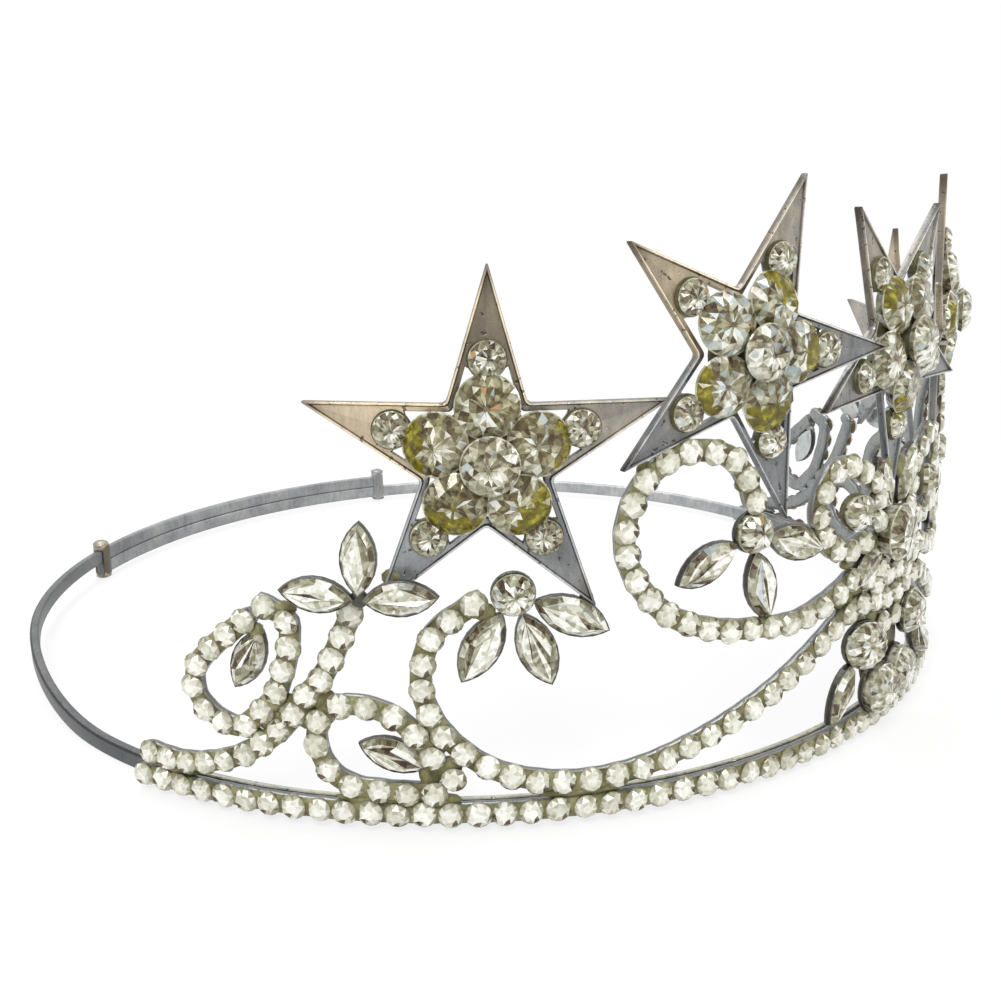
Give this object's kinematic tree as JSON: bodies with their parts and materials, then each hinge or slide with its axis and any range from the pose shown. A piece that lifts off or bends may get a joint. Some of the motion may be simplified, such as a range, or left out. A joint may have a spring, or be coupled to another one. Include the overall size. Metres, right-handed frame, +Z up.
{
  "type": "crown",
  "caption": "Costume crown of stone-set stars over stone-set scrollwork, on a head hoop whose rear strips slide through collars to fit the head.",
  "frame": {"origin": "middle of the bounding box at the height of the hoop's lower edge; the hoop's axis is 3.8 mm behind it, towards +Y", "axes": "+Z up along the hoop's axis, -Y to the front and the centre star, +X to the left hand of the wearer"},
  "size_m": [0.1802, 0.1828, 0.0849],
  "materials": {
    "cast_silver": "aged silver plate on castings, tarnished brown at the edges",
    "strip_metal": "satin grey strip",
    "crystal": "foil-backed cut glass, pale champagne"
  },
  "bodies": {
    "front": {"base_rail": "cast_silver", "base_stones": "crystal", "centre_star_frame": "cast_silver", "centre_star_heart": "crystal", "centre_star_rosette": "crystal", "front_band": "cast_silver", "heart_flower": "crystal", "left_arch_scroll": "cast_silver", "left_arch_stones": "crystal", "left_curl_navette": "crystal", "left_curl_scroll": "cast_silver", "left_curl_stones": "crystal", "left_eye_scroll": "cast_silver", "left_eye_stones": "crystal", "left_great_scroll": "cast_silver", "left_great_stones": "crystal", "left_high_flower": "crystal", "left_inner_star_frame": "cast_silver", "left_inner_star_heart": "crystal", "left_inner_star_rosette": "crystal", "left_leaf_navette": "crystal", "left_leaf_scroll": "cast_silver", "left_leaf_stones": "crystal", "left_low_flower": "crystal", "left_outer_star_frame": "cast_silver", "left_outer_star_heart": "crystal", "left_outer_star_rosette": "crystal", "left_spray": "crystal", "left_tail_scroll": "cast_silver", "left_tail_stones": "crystal", "right_arch_scroll": "cast_silver", "right_arch_stones": "crystal", "right_curl_navette": "crystal", "right_curl_scroll": "cast_silver", "right_curl_stones": "crystal", "right_eye_scroll": "cast_silver", "right_eye_stones": "crystal", "right_great_scroll": "cast_silver", "right_great_stones": "crystal", "right_high_flower": "crystal", "right_inner_star_frame": "cast_silver", "right_inner_star_heart": "crystal", "right_inner_star_rosette": "crystal", "right_leaf_navette": "crystal", "right_leaf_scroll": "cast_silver", "right_leaf_stones": "crystal", "right_low_flower": "crystal", "right_outer_star_frame": "cast_silver", "right_outer_star_heart": "crystal", "right_outer_star_rosette": "crystal", "right_spray": "crystal", "right_tail_scroll": "cast_silver", "right_tail_stones": "crystal", "trefoil": "crystal"},
    "left_arm": {"left_strip": "strip_metal", "left_collar": "strip_metal"},
    "right_arm": {"right_strip": "strip_metal", "right_collar": "strip_metal"}
  },
  "joints": [
    {"name": "left_size_slide", "type": "hinge", "parent": "front", "child": "left_arm", "pos_m": [0, 0.0038, 0], "axis": [0, 0, 1], "range_deg": [-12, 24]},
    {"name": "right_size_slide", "type": "hinge", "parent": "front", "child": "right_arm", "pos_m": [0, 0.0038, 0], "axis": [0, 0, 1], "range_deg": [-24, 12]}
  ],
  "couplings": [
    {"joint": "right_size_slide", "follows": "left_size_slide", "ratio": -1}
  ]
}
